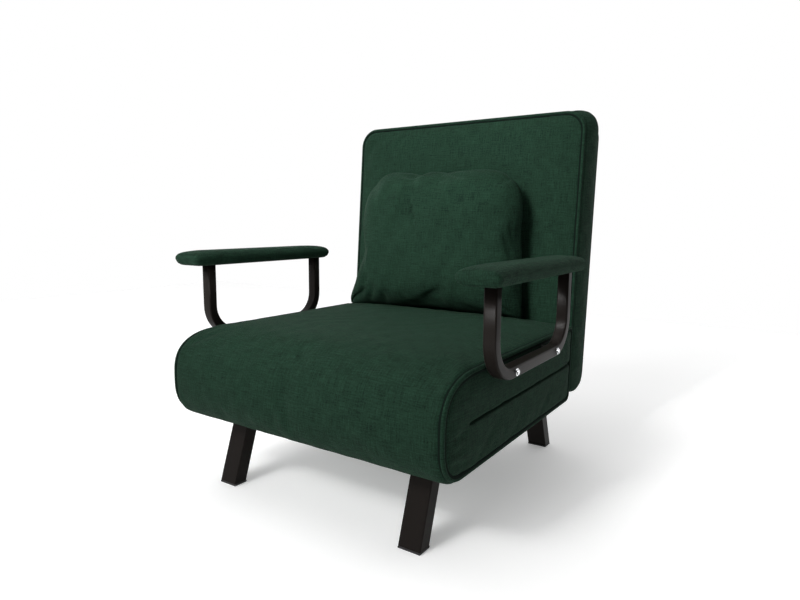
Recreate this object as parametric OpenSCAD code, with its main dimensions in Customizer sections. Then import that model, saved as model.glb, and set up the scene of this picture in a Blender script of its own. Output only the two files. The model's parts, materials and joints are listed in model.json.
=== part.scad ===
// Recliner with a steel frame, a fabric seat folded round at the front,
// a backrest on two ratchet hinges, padded arms on bent brackets and a loose pillow.
// +X is the sitter's left, -Y is the front, +Z is up. The origin is on the floor,
// under the middle of the chair.

/* [Seat] */
// Width of the seat cushion
seat_w = 640; // [600:5:680]
// Depth of the seat cushion, front to back
seat_depth = 578; // [560:2:600]
// Height of the seat's top edge above the floor
seat_top_h = 318; // [314:1:324]
// Height of the seat's underside above the floor
under_h = 145; // [140:1:150]
// Rise of the cushion's middle above its edges
seat_crown = 9; // [4:1:12]
// Reach of the front's upper curve along the depth
nose_top_reach = 118; // [100:2:130]
// Drop of the front's upper curve
nose_top_drop = 84; // [76:1:88]
// Reach of the front's lower curve along the depth
nose_low_reach = 66; // [56:1:76]
// Rise of the front's lower curve
nose_low_rise = 74; // [64:1:80]
// Height of the side slit between the two layers, above the floor
slit_h = 235; // [232:1:238]
// Opening of the side slit
slit_gap = 5; // [3:0.5:7]
// Distance from the front to the closed end of the slit
slit_front = 82; // [74:1:92]

/* [Backrest] */
// Width of the backrest cushion
back_w = 624; // [600:2:630]
// Thickness of the backrest cushion
back_t = 110; // [106:1:112]
// Length of the backrest above its hinge axis
back_len = 590; // [560:5:620]
// Length of the backrest below its hinge axis
back_drop = 55; // [54:0.5:56]
// Lean of the backrest from upright, in degrees
back_lean = 4.3; // [3:0.1:6]
// Gap between the seat and the backrest at the hinge's height
back_gap = 6; // [5:0.5:8]
// Radius of the backrest's lower edges, seen from the side
back_low_r = 45; // [44:0.5:48]
// Radius of the backrest's upper corners, seen from the front
back_corner_r = 48; // [40:1:56]
// Rise of the backrest's front face at its middle
back_crown = 7; // [3:1:10]

/* [Pillow] */
// Width of the loose pillow
pillow_w = 472; // [440:2:500]
// Height of the loose pillow
pillow_h = 352; // [330:2:370]
// Thickness of the loose pillow
pillow_t = 118; // [100:2:130]
// Distance from the chair's middle plane to the pillow's middle
pillow_offset = -27; // [-40:1:40]

/* [Arms] */
// How far an arm pad runs on in front of its bracket's front upright
pad_lead = 48; // [40:1:54]
// How far an arm pad runs on behind its bracket's rear upright
pad_tail = 9; // [5:1:16]
// Width of an arm pad
pad_w = 78; // [70:1:84]
// Thickness of an arm pad
pad_t = 30; // [26:1:34]
// Height of an arm pad's underside above the floor
pad_h = 452; // [440:1:470]
// Distance from the seat's side to an arm bracket
arm_gap = 8; // [7:0.5:12]
// Width of the bracket tube, across the chair
arm_tube_w = 23; // [20:0.5:26]
// Thickness of the bracket tube, in the plane of its bend
arm_tube_t = 20; // [18:0.5:22]
// Distance over the outsides of a bracket's two uprights
arm_span = 358; // [340:2:370]
// Outer radius of a bracket's bends
arm_bend_r = 72; // [56:1:74]
// Distance from the seat's front to the bracket's front upright
arm_setback = 103; // [98:1:120]
// Distance from a bracket's front face to its front bolt
arm_bolt_lead = 86; // [80:1:94]
// Distance from a bracket's rear face to its rear bolt
arm_bolt_tail = 72; // [70:1:84]
// Distance from the seat's upper edge down to a bracket's underside
arm_run_drop = 29; // [27:0.5:31]

/* [Frame and legs] */
// Side of the square frame tube
tube = 25; // [22:1:26]
// Wall of the frame tube
tube_wall = 1.5; // [1:0.1:2.5]
// Width of a leg, across the chair
leg_w = 45; // [40:1:50]
// Thickness of a leg along the chair
leg_t = 31; // [28:1:34]
// Distance from the middle plane to a leg's outer face
leg_out = 249; // [240:1:255]
// Forward rake of a front leg, top to foot
front_rake = 45; // [35:1:55]
// Backward rake of a rear leg, top to foot
rear_rake = 54; // [45:1:60]
// Distance from the seat's front to a front leg at its top
front_leg_back = 97; // [90:1:110]
// Distance from the seat's rear face to a rear leg's rear face at its top
rear_leg_over = 32; // [28:1:34]

/* [Recline hinge] */
// Room between the tops of the rear legs and the backrest's underside, below the hinge axis
back_leg_gap = 6; // [5.5:0.5:8]
// Radius of the hinge pin
pin_r = 5; // [4:0.5:6]
// Running clearance round the pin
pin_clear = 0.05; // [0.02:0.01:0.1]
// Thickness of the hinge's steel plates
plate_t = 5; // [4:0.5:6]
// Radius of the plates' round ends
plate_r = 18; // [16:0.5:19]

/* [Hidden] */
overrun = 1;
foam_clear = 0.3;
round_fn = 48;
fine_fn = 24;

// Places that the driving sizes give
depth_all = seat_depth + back_gap + back_t / 2 + back_t / 2 * cos(back_lean) + back_len * sin(back_lean);
front_y = -depth_all / 2;
rear_y = front_y + seat_depth;
hinge_y = rear_y + back_gap + back_t / 2;
hinge_h = under_h + back_leg_gap + back_drop;
half_w = seat_w / 2;
slit_low = slit_h - slit_gap / 2;
slit_high = slit_h + slit_gap / 2;

// Arm bracket
arm_in_x = half_w + arm_gap;
arm_mid_x = arm_in_x + arm_tube_w / 2;
arm_front_y = front_y + arm_setback;
arm_run_h = seat_top_h - arm_run_drop;
arm_bolt_h = arm_run_h + arm_tube_t / 2;
arm_bolt_y = arm_front_y + arm_bolt_lead;
arm_bolt_pitch = arm_span - arm_bolt_lead - arm_bolt_tail;
arm_bolt_r = 4;
bolt_clear = 0.2;
bolt_head_r = 6.5;
bolt_head_h = 4.5;
arm_wall = 1.6;
spacer_r = 8;
nut_r = 7.5;
nut_h = 6.5;

// Arm pad, its board and its plate
pad_len = pad_lead + arm_span + pad_tail;
arm_plate_t = 3;
arm_plate_w = 46;
arm_plate_inset = 22;
board_t = 9;
board_w = 48;
board_inset = 16;
screw_r = 2;
screw_head_r = 4;
screw_head_h = 2;
screw_side = 17;

// Frame tubes, seen from the outside in
side_foam = 10;
rail_x = half_w - side_foam;
rail_bolt_rise = 1.5;
rail_low_h = arm_bolt_h - tube / 2 - rail_bolt_rise;
frame_setback = 95;
frame_rear_gap = 3;
frame_front_y = front_y + frame_setback;
frame_rear_y = rear_y - frame_rear_gap;
lower_rail_mid_x = leg_out - leg_w / 2;
cross_setback = 110;
cross_rear_gap = 38;
cross_front_y = front_y + cross_setback;
cross_rear_y = rear_y - cross_rear_gap;
slat_t = 8;
slat_w = 48;
slat_count = 6;
slat_over = 20;
cover_t = 1;
cover_rise = 1;

// Leg, plate, foot cap and bolts
leg_plate_t = 4;
leg_plate_reach = 66;
leg_top_h = under_h - leg_plate_t;
cap_t = 3;
leg_bolt_r = 3;
leg_bolt_head_r = 6;
leg_bolt_head_h = 4;
leg_bolt_near = 18;
leg_bolt_pitch = 28;
leg_bolt_grip = 8;
front_leg_y = front_y + front_leg_back;
rear_leg_y = rear_y + rear_leg_over - leg_t;

// Hinge, from the middle plane outwards
hinge_plate_x = lower_rail_mid_x + tube / 2;
lug_gap = 1;
lug_x = hinge_plate_x + plate_t + lug_gap;
bracket_reach = 88;
bracket_lift = 2;
hinge_bolt_r = 3;
hinge_bolt_head_r = 5.5;
hinge_bolt_head_h = 3.5;
hinge_bolt_inset = 20;
hinge_bolt_pitch = 46;
housing_r = 25;
housing_wall = 2.5;
housing_t = 12;
wheel_r = 17;
wheel_t = 6;
wheel_gap = 1;
tooth_count = 14;
tooth_depth = 3;
pawl_clear = 0.4;
pawl_w = 6;
pin_head_r = 8;
pin_head_t = 3;
clip_r = 8;
clip_t = 1.5;
slot_clear = 3;

// Back frame, in the backrest's own frame: the hinge axis is its origin
back_side_foam = 24;
back_rail_low = 27;
back_top_foam = 42;
back_mid_share = 0.5;
back_slat_t = 6;
back_slat_w = 42;
back_slats_per_bay = 2;
stile_x = back_w / 2 - back_side_foam;
back_frame_top = back_len - back_top_foam;
back_rail_mid = back_rail_low + (back_frame_top - tube - back_rail_low) * back_mid_share;

// Soft forms: how many points each outline takes
nose_steps = 9;
nose_top_power = 2.7;
nose_low_power = 2.5;
top_steps = 8;
slit_steps = 4;
edge_r = 9;
rear_edge_r = 8;
lip_r = 5;
edge_shares = [0, 0.12, 0.42, 1];
span_shares = [0.22, 0.5, 0.78];
side_draw = 2.5;

// A row of shares from nought to one
function steps(n) = [for (i = [0:n]) i / n];

// Depth of a round edge at a distance from the face that it ends in
function round_in(r, d) = d >= r ? 0 : r - sqrt(r * r - (r - d) * (r - d));

// Closed solid through rings that all have the same number of points
module loft(rings) {
    n = len(rings[0]);
    m = len(rings);
    polyhedron(
        points = [for (ring = rings) each ring],
        faces = concat(
            [[for (i = [0:n - 1]) i]],
            [for (k = [0:m - 2], i = [0:n - 1])
                each [[k * n + i, (k + 1) * n + i, k * n + (i + 1) % n],
                      [k * n + (i + 1) % n, (k + 1) * n + i, (k + 1) * n + (i + 1) % n]]],
            [[for (i = [n - 1:-1:0]) (m - 1) * n + i]]));
}

// Side outline of the folded seat at one station across it, as [y, z] points.
// d is how far the outline is drawn in, lift how far the middle of the top stands up.
function seat_outline(d, lift) = let (
    y0 = front_y + d,
    y1 = rear_y - d,
    zt = seat_top_h - d,
    zb = under_h + d,
    top_a = nose_top_reach - d,
    top_b = nose_top_drop - d,
    low_a = nose_low_reach - d,
    low_b = nose_low_rise - d,
    slit_y = front_y + slit_front)
    concat(
        [for (t = steps(top_steps)) let (y = y1 - rear_edge_r + t * (y0 + top_a - y1 + rear_edge_r))
            [y, zt + lift * pow(sin(180 * (0.12 + 0.8 * t)), 0.7)]],
        [for (i = [1:nose_steps]) let (a = 90 * i / nose_steps)
            [y0 + top_a - top_a * pow(sin(a), 2 / nose_top_power),
                zt - top_b + (top_b + lift * pow(sin(180 * 0.92), 0.7)) * pow(cos(a), 2 / nose_top_power)]],
        [for (i = [0:nose_steps]) let (a = 90 * i / nose_steps)
            [y0 + low_a - low_a * pow(cos(a), 2 / nose_low_power), zb + low_b - low_b * pow(sin(a), 2 / nose_low_power)]],
        [[y1 - rear_edge_r, zb], [y1, zb + rear_edge_r], [y1, slit_low - lip_r], [y1 - lip_r, slit_low]],
        [for (i = [1:slit_steps - 1]) let (a = 180 * i / slit_steps)
            [slit_y - slit_gap / 2 * (sin(a) - 1), slit_h - slit_gap / 2 * cos(a)]],
        [[y1 - lip_r, slit_high], [y1, slit_high + lip_r], [y1, zt - rear_edge_r]]);

// Stations from one side of the seat to the other, with their draw-in and lift
seat_stations = concat(
    [for (s = edge_shares) [-half_w + edge_r * s, round_in(edge_r, edge_r * s), 0]],
    [for (s = span_shares) let (x = -half_w + seat_w * s)
        [x, 0, seat_crown * (1 - pow(2 * x / seat_w, 4))]],
    [for (i = [len(edge_shares) - 1:-1:0]) let (s = edge_shares[i])
        [half_w - edge_r * s, round_in(edge_r, edge_r * s), 0]]);

module seat_form() {
    loft([for (s = seat_stations) [for (p = seat_outline(s[1], s[2])) [s[0], p[0], p[1]]]]);
}

// Keeps a soft form and the room cut in it as one mesh, at its own size
module one_mesh() {
    resize([0, 0, 0])
        children();
}

// A box from one corner to the opposite one, grown by g on every side
module span_box(low, high, g = 0) {
    translate([low[0] - g, low[1] - g, low[2] - g])
        cube([high[0] - low[0] + 2 * g, high[1] - low[1] + 2 * g, high[2] - low[2] + 2 * g]);
}

// A box from its corners with its hollow along one axis, 0 for X, 1 for Y and 2 for Z
module tube_box(low, high, along) {
    wall = [for (i = [0:2]) i == along ? -overrun : tube_wall];
    difference() {
        span_box(low, high);
        span_box([for (i = [0:2]) low[i] + wall[i]], [for (i = [0:2]) high[i] - wall[i]]);
    }
}

// A shape drawn in the Y-Z plane and given a thickness along +X from x
module side_plate(x, t) {
    translate([x, 0, 0])
        rotate([90, 0, 90])
            linear_extrude(t)
                children();
}

// A round bar along +X from x
module bar_x(x, length, r, y, z, fn = fine_fn) {
    translate([x, y, z])
        rotate([0, 90, 0])
            cylinder(h = length, r = r, $fn = fn);
}

// Draws its children at the left (+X) side, or mirrored at the right
module at_side(side) {
    if (side > 0) children();
    else mirror([1, 0, 0]) children();
}

// Corners of each frame tube, as [low, high], at the left side
upper_rail_box = [[rail_x - tube, frame_front_y, rail_low_h], [rail_x, frame_rear_y, rail_low_h + tube]];
lower_rail_box = [
    [lower_rail_mid_x - tube / 2, frame_front_y, under_h],
    [lower_rail_mid_x + tube / 2, frame_rear_y, under_h + tube]];
function upper_cross_box(y) = [[-rail_x + tube, y, rail_low_h], [rail_x - tube, y + tube, rail_low_h + tube]];
function lower_cross_box(y) = [
    [-lower_rail_mid_x + tube / 2, y, under_h], [lower_rail_mid_x - tube / 2, y + tube, under_h + tube]];
function post_box(y) = [
    [lower_rail_mid_x - tube / 2, y, under_h + tube], [lower_rail_mid_x + tube / 2, y + tube, rail_low_h]];
slat_room = cross_rear_y - cross_front_y - tube - 2 * slat_over;
function slat_box(i) = let (y = cross_front_y + tube + slat_over + (slat_room - slat_w) * i / (slat_count - 1))
    [[-rail_x + slat_t, y, rail_low_h - slat_t], [rail_x - slat_t, y + slat_w, rail_low_h]];
cover_box = [
    [-lower_rail_mid_x + tube / 2, cross_front_y + tube, under_h + cover_rise],
    [lower_rail_mid_x - tube / 2, cross_rear_y, under_h + cover_rise + cover_t]];

// Room in the seat's foam for everything that it wraps
module seat_frame_room() {
    for (side = [-1, 1]) at_side(side) {
        span_box(upper_rail_box[0], upper_rail_box[1], foam_clear);
        span_box([lower_rail_box[0][0], lower_rail_box[0][1], under_h - overrun], lower_rail_box[1], foam_clear);
        for (y = [cross_front_y, cross_rear_y]) span_box(post_box(y)[0], post_box(y)[1], foam_clear);
        for (i = [0, 1]) {
            bar_x(rail_x - overrun, side_foam + 2 * overrun, spacer_r + foam_clear,
                arm_bolt_y + arm_bolt_pitch * i, arm_bolt_h, round_fn / 4);
            bar_x(rail_x - tube - nut_h - arm_bolt_r - foam_clear, nut_h + arm_bolt_r + 2 * foam_clear,
                nut_r + foam_clear, arm_bolt_y + arm_bolt_pitch * i, arm_bolt_h, round_fn / 4);
        }
        span_box([hinge_plate_x, frame_rear_y - bracket_reach, under_h - overrun],
            [hinge_plate_x + plate_t + hinge_bolt_head_h, rear_y + overrun, hinge_h + plate_r], foam_clear);
        span_box([lower_rail_mid_x - tube / 2 - hinge_bolt_head_h, frame_rear_y - bracket_reach, under_h - overrun],
            [hinge_plate_x, frame_rear_y - hinge_bolt_inset / 2, under_h + tube], foam_clear);
    }
    for (y = [cross_front_y, cross_rear_y]) {
        span_box(upper_cross_box(y)[0], upper_cross_box(y)[1], foam_clear);
        span_box([lower_cross_box(y)[0][0], y, under_h - overrun], lower_cross_box(y)[1], foam_clear);
    }
    for (i = [0:slat_count - 1]) span_box(slat_box(i)[0], slat_box(i)[1], foam_clear);
    span_box([cover_box[0][0], cover_box[0][1], under_h - overrun], cover_box[1], foam_clear);
}

module seat_cushion() {
    color("darkslategray")
        one_mesh()
            difference() {
                seat_form();
                seat_frame_room();
            }
}

module upper_rail(side) {
    color("dimgray")
        at_side(side)
            difference() {
                tube_box(upper_rail_box[0], upper_rail_box[1], 1);
                for (i = [0, 1])
                    bar_x(rail_x - tube - overrun, tube + 2 * overrun, arm_bolt_r + bolt_clear,
                        arm_bolt_y + arm_bolt_pitch * i, arm_bolt_h);
            }
}

module lower_rail(side) {
    color("dimgray")
        at_side(side)
            difference() {
                tube_box(lower_rail_box[0], lower_rail_box[1], 1);
                for (i = [0, 1]) {
                    bar_x(lower_rail_mid_x - tube, 2 * tube, hinge_bolt_r + bolt_clear, hinge_bolt_y(i), hinge_bolt_z);
                    for (y = [front_bolt_y(i), rear_bolt_y(i)])
                        translate([lower_rail_mid_x, y, under_h - overrun])
                            cylinder(h = tube_wall + 2 * overrun, r = leg_bolt_r + bolt_clear, $fn = fine_fn);
                }
            }
}

module frame_cross(box) {
    color("dimgray") tube_box(box[0], box[1], 0);
}

module post(side, y) {
    color("dimgray") at_side(side) tube_box(post_box(y)[0], post_box(y)[1], 2);
}

module seat_slats() {
    color("burlywood")
        for (i = [0:slat_count - 1]) span_box(slat_box(i)[0], slat_box(i)[1]);
}

module dust_cover() {
    color("black") span_box(cover_box[0], cover_box[1], -foam_clear / 2);
}

// Legs: a raked tube under a flat plate, with bolts up into the lower rail
function front_bolt_y(i) = front_leg_y + leg_t + leg_bolt_near + leg_bolt_pitch * i;
function rear_bolt_y(i) = rear_leg_y - leg_bolt_near - leg_bolt_pitch * i;

module leg_side(y_top, rake, h0, h1) {
    function at(h) = y_top + rake * (1 - h / under_h);
    polygon([[at(h0), h0], [at(h0) + leg_t, h0], [at(h1) + leg_t, h1], [at(h1), h1]]);
}

module leg(side, y_top, rake, plate_low_y, plate_high_y, bolts) {
    color([0.17, 0.15, 0.14])
        at_side(side)
            difference() {
                union() {
                    side_plate(leg_out - leg_w, leg_w) leg_side(y_top, rake, cap_t, leg_top_h + overrun);
                    span_box([leg_out - leg_w, plate_low_y, leg_top_h], [leg_out, plate_high_y, under_h]);
                }
                for (y = bolts)
                    translate([lower_rail_mid_x, y, leg_top_h - overrun])
                        cylinder(h = leg_plate_t + 2 * overrun, r = leg_bolt_r + bolt_clear, $fn = fine_fn);
            }
}

module leg_front(side) {
    leg(side, front_leg_y, -front_rake, front_leg_y, front_leg_y + leg_t + leg_plate_reach,
        [front_bolt_y(0), front_bolt_y(1)]);
}

module leg_rear(side) {
    leg(side, rear_leg_y, rear_rake, rear_leg_y - leg_plate_reach, rear_leg_y + leg_t,
        [rear_bolt_y(0), rear_bolt_y(1)]);
}

module foot_caps() {
    color("black")
        for (side = [-1, 1]) at_side(side) {
            side_plate(leg_out - leg_w, leg_w) leg_side(front_leg_y, -front_rake, 0, cap_t);
            side_plate(leg_out - leg_w, leg_w) leg_side(rear_leg_y, rear_rake, 0, cap_t);
        }
}

module leg_bolts() {
    color("silver")
        for (side = [-1, 1]) at_side(side)
            for (i = [0, 1], y = [front_bolt_y(i), rear_bolt_y(i)])
                translate([lower_rail_mid_x, y, leg_top_h]) {
                    translate([0, 0, -leg_bolt_head_h])
                        cylinder(h = leg_bolt_head_h, r = leg_bolt_head_r, $fn = 6);
                    cylinder(h = leg_plate_t + leg_bolt_grip, r = leg_bolt_r, $fn = fine_fn);
                }
}

// Arm bracket: two uprights and a run joined by two round bends, all one hollow tube
module tube_section(inset) {
    translate([-arm_tube_w / 2 + inset, inset])
        square([arm_tube_w - 2 * inset, arm_tube_t - 2 * inset]);
}

module bracket_body(inset) {
    run = arm_span - 2 * arm_bend_r;
    upright = pad_h - arm_run_h - arm_bend_r;
    wide = arm_tube_w - 2 * inset;
    thick = arm_tube_t - 2 * inset;
    tip = inset > 0 ? overrun : 0;
    translate([arm_mid_x - wide / 2, arm_front_y + arm_bend_r, arm_run_h + inset]) cube([wide, run, thick]);
    for (y = [arm_front_y + inset, arm_front_y + arm_span - arm_tube_t + inset])
        translate([arm_mid_x - wide / 2, y, arm_run_h + arm_bend_r]) cube([wide, thick, upright + tip]);
    for (end = [0, 1])
        translate([arm_mid_x, arm_front_y + arm_bend_r + run * end, arm_run_h + arm_bend_r])
            rotate([0, 90, 0])
                rotate([0, 0, end == 0 ? -90 : 0])
                    rotate_extrude(angle = 90, $fn = 2 * round_fn)
                        translate([arm_bend_r - arm_tube_t + inset, -wide / 2])
                            square([thick, wide]);
}

module arm_bracket(side) {
    color([0.17, 0.15, 0.14])
        at_side(side)
            difference() {
                bracket_body(0);
                bracket_body(arm_wall);
                for (i = [0, 1])
                    bar_x(arm_in_x - overrun, arm_tube_w + 2 * overrun, arm_bolt_r + bolt_clear,
                        arm_bolt_y + arm_bolt_pitch * i, arm_bolt_h);
            }
}

pad_front_y = arm_front_y - pad_lead;
plate_low = [arm_mid_x - arm_plate_w / 2, pad_front_y + arm_plate_inset, pad_h];
plate_high = [arm_mid_x + arm_plate_w / 2, pad_front_y + pad_len - arm_plate_inset, pad_h + arm_plate_t];
board_low = [arm_mid_x - board_w / 2, pad_front_y + board_inset, pad_h + arm_plate_t];
board_high = [arm_mid_x + board_w / 2, pad_front_y + pad_len - board_inset, pad_h + arm_plate_t + board_t];
screw_ys = [arm_front_y + arm_tube_t + screw_side, arm_front_y + arm_span - arm_tube_t - screw_side];

module screw_holes(h) {
    for (y = screw_ys)
        translate([arm_mid_x, y, pad_h - overrun])
            cylinder(h = h + overrun, r = screw_r + bolt_clear, $fn = fine_fn);
}

module arm_plate(side) {
    color([0.17, 0.15, 0.14])
        at_side(side)
            difference() {
                span_box(plate_low, plate_high);
                screw_holes(arm_plate_t + overrun);
            }
}

module arm_board(side) {
    color("burlywood")
        at_side(side)
            difference() {
                span_box(board_low, board_high);
                screw_holes(arm_plate_t + board_t - screw_head_h);
            }
}

module pad_screws() {
    color("silver")
        for (side = [-1, 1]) at_side(side)
            for (y = screw_ys)
                translate([arm_mid_x, y, pad_h]) {
                    translate([0, 0, -screw_head_h]) cylinder(h = screw_head_h, r = screw_head_r, $fn = fine_fn);
                    cylinder(h = arm_plate_t + board_t / 2, r = screw_r, $fn = fine_fn);
                }
}

// Arm pad: rings along its length, each a flat-bottomed rounded section
pad_ring_shares = [0, 0.012, 0.035, 0.075, 0.14, 0.3, 0.5, 0.7, 0.86, 0.925, 0.965, 0.988, 1];
pad_end_r = 30;
pad_end_low_share = 0.42;
pad_section_power = 0.55;
pad_under_draw = 0.3;
pad_ring_points = 22;

function pad_ring(s) = let (
    y = pad_len * s,
    d = min(y, pad_len - y),
    in_w = round_in(pad_end_r, d),
    half = pad_w / 2 - in_w * (1 - pad_end_low_share),
    rise = pad_t - round_in(pad_end_r, d) * pad_end_low_share)
    [for (i = [0:pad_ring_points - 1]) let (a = 360 * i / pad_ring_points, c = cos(a), q = sin(a))
        [arm_mid_x + half * (1 + pad_under_draw * min(0, q)) * sign(c) * pow(abs(c), pad_section_power), pad_front_y + y,
         pad_h + pad_t / 2 + (q > 0 ? rise - pad_t / 2 : rise / 2) * sign(q) * pow(abs(q), pad_section_power)]];

module arm_pad(side) {
    color("darkslategray")
        at_side(side)
            one_mesh()
                difference() {
                    loft([for (i = [len(pad_ring_shares) - 1:-1:0]) pad_ring(pad_ring_shares[i])]);
                    span_box([plate_low[0], plate_low[1], pad_h - overrun], plate_high, foam_clear);
                    span_box(board_low, board_high, foam_clear);
                }
}

module arm_spacers() {
    color("black")
        for (side = [-1, 1]) at_side(side)
            for (i = [0, 1])
                difference() {
                    bar_x(rail_x, side_foam + arm_gap, spacer_r, arm_bolt_y + arm_bolt_pitch * i, arm_bolt_h);
                    bar_x(rail_x - overrun, side_foam + arm_gap + 2 * overrun, arm_bolt_r + bolt_clear,
                        arm_bolt_y + arm_bolt_pitch * i, arm_bolt_h);
                }
}

module arm_bolts() {
    color("silver")
        for (side = [-1, 1]) at_side(side)
            for (i = [0, 1]) let (y = arm_bolt_y + arm_bolt_pitch * i) {
                bar_x(rail_x - tube - nut_h - arm_bolt_r, tube + nut_h + arm_bolt_r + side_foam + arm_gap + arm_tube_w,
                    arm_bolt_r, y, arm_bolt_h);
                bar_x(arm_in_x + arm_tube_w, bolt_head_h / 2, bolt_head_r, y, arm_bolt_h);
                bar_x(arm_in_x + arm_tube_w, bolt_head_h, bolt_head_r * 0.7, y, arm_bolt_h);
            }
}

module arm_nuts() {
    color("silver")
        for (side = [-1, 1]) at_side(side)
            for (i = [0, 1])
                difference() {
                    bar_x(rail_x - tube - nut_h, nut_h, nut_r, arm_bolt_y + arm_bolt_pitch * i, arm_bolt_h, 6);
                    bar_x(rail_x - tube - nut_h - overrun, nut_h + 2 * overrun, arm_bolt_r + pin_clear,
                        arm_bolt_y + arm_bolt_pitch * i, arm_bolt_h);
                }
}

// Hinge on the seat side: a plate bolted to the lower rail that carries the pin's bore
hinge_bolt_z = under_h + tube / 2;
function hinge_bolt_y(i) = frame_rear_y - hinge_bolt_inset - hinge_bolt_pitch * i;

module hinge_bracket(side) {
    low = under_h + bracket_lift;
    high = under_h + tube - bracket_lift;
    color("gray")
        at_side(side)
            difference() {
                union() {
                    side_plate(hinge_plate_x, plate_t) {
                        polygon([[frame_rear_y - bracket_reach, low], [frame_rear_y, low],
                            [hinge_y + plate_r * sin(28), hinge_h - plate_r * cos(28)],
                            [hinge_y - plate_r * sin(28), hinge_h + plate_r * cos(28)],
                            [frame_rear_y - hinge_bolt_inset, high], [frame_rear_y - bracket_reach, high]]);
                    }
                    bar_x(hinge_plate_x, plate_t, plate_r, hinge_y, hinge_h, round_fn);
                }
                bar_x(hinge_plate_x - overrun, plate_t + 2 * overrun, pin_r + pin_clear, hinge_y, hinge_h, round_fn);
                for (i = [0, 1])
                    bar_x(hinge_plate_x - overrun, plate_t + 2 * overrun, hinge_bolt_r + bolt_clear,
                        hinge_bolt_y(i), hinge_bolt_z);
            }
}

module hinge_bolts() {
    color("silver")
        for (side = [-1, 1]) at_side(side)
            for (i = [0, 1]) {
                bar_x(lower_rail_mid_x - tube / 2, tube + plate_t, hinge_bolt_r, hinge_bolt_y(i), hinge_bolt_z);
                bar_x(hinge_plate_x + plate_t, hinge_bolt_head_h, hinge_bolt_head_r, hinge_bolt_y(i), hinge_bolt_z, 6);
                bar_x(lower_rail_mid_x - tube / 2 - hinge_bolt_head_h, hinge_bolt_head_h, hinge_bolt_head_r,
                    hinge_bolt_y(i), hinge_bolt_z, 6);
            }
}

// Ratchet: a cup on the plate's inner face, with the toothed wheel on the pin inside it
housing_x = hinge_plate_x - housing_t;
wheel_x = hinge_plate_x - wheel_gap - wheel_t;

module ratchet_housing(side) {
    color("gray")
        at_side(side)
            difference() {
                bar_x(housing_x, housing_t, housing_r, hinge_y, hinge_h, round_fn);
                bar_x(housing_x + housing_wall, housing_t, housing_r - housing_wall, hinge_y, hinge_h, round_fn);
            }
}

module ratchet_wheel(side) {
    color("silver")
        at_side(side)
            difference() {
                side_plate(wheel_x, wheel_t)
                    translate([hinge_y, hinge_h])
                        polygon([for (i = [0:tooth_count - 1], k = [0, 1])
                            let (a = 360 * (i + 0.85 * k) / tooth_count, r = wheel_r - tooth_depth * (1 - k))
                                [r * cos(a), r * sin(a)]]);
                bar_x(wheel_x - overrun, wheel_t + 2 * overrun, pin_r, hinge_y, hinge_h, round_fn);
            }
}

// The pawl hangs in the cup just clear of the teeth
module ratchet_pawls() {
    reach = wheel_r + pawl_clear;
    rim = housing_r - housing_wall;
    color("silver")
        for (side = [-1, 1]) at_side(side)
            side_plate(wheel_x, wheel_t)
                translate([hinge_y, hinge_h])
                    intersection() {
                        difference() {
                            circle(r = rim, $fn = round_fn);
                            circle(r = reach, $fn = round_fn);
                        }
                        translate([-pawl_w / 2, 0]) square([pawl_w, rim]);
                    }
}

// Places its children in the backrest's own frame
module in_back() {
    translate([0, hinge_y, hinge_h])
        rotate([-back_lean, 0, 0])
            children();
}

stile_box = [[stile_x - tube, -tube / 2, back_rail_low], [stile_x, tube / 2, back_frame_top]];
function back_rail_box(z) = [[-stile_x + tube, -tube / 2, z], [stile_x - tube, tube / 2, z + tube]];
back_bays = [[back_rail_low + tube, back_rail_mid], [back_rail_mid + tube, back_frame_top - tube]];
function back_slat_z(bay, i) = bay[0] + (bay[1] - bay[0] - back_slat_w) * (i + 1) / (back_slats_per_bay + 1);
function back_slat_box(z) = [[-stile_x + tube, -back_slat_t / 2, z], [stile_x - tube, back_slat_t / 2, z + back_slat_w]];
hinge_slot_low = hinge_plate_x - slot_clear - housing_t;
hinge_slot_high = lug_x + plate_t + pin_head_t + slot_clear;

// Backrest form: rings up its length, each a rounded rectangle with a crowned front
back_ring_points = 9;
back_edge_r = 8;
back_low_shares = [0, 0.08, 0.3, 0.62, 1];
back_mid_shares = [0.25, 0.5, 0.75];
back_top_shares = [1, 0.62, 0.3, 0.1, 0.02];

function back_half_x(z) = back_w / 2 - round_in(back_corner_r, back_len - z)
    - round_in(back_low_r, z + back_drop) * 0.35;
function back_half_y(z) = back_t / 2 - round_in(back_low_r, z + back_drop) - round_in(back_edge_r, back_len - z);
function back_lift(x, z) = back_crown * (1 - pow(2 * x / back_w, 4))
    * max(0, sin(180 * (z + back_drop) / (back_len + back_drop)));
function back_ring(z) = let (hx = back_half_x(z), hy = max(back_half_y(z), 1), r = min(back_edge_r, hy * 0.9))
    concat(
        [for (s = steps(back_ring_points)) let (x = -hx + r + 2 * (hx - r) * s) [x, -hy - back_lift(x, z), z]],
        [[hx - r * 0.3, -hy + r * 0.3, z], [hx, -hy + r, z], [hx, hy - r, z], [hx - r * 0.3, hy - r * 0.3, z]],
        [for (s = steps(2)) let (x = hx - r - 2 * (hx - r) * s) [x, hy, z]],
        [[-hx + r * 0.3, hy - r * 0.3, z], [-hx, hy - r, z], [-hx, -hy + r, z], [-hx + r * 0.3, -hy + r * 0.3, z]]);
back_levels = concat(
    [for (s = back_low_shares) -back_drop + back_low_r * s],
    [for (s = back_mid_shares) let (z0 = back_low_r - back_drop) z0 + (back_len - back_corner_r - z0) * s],
    [for (s = back_top_shares) back_len - back_corner_r * s],
    [back_len]);

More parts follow.
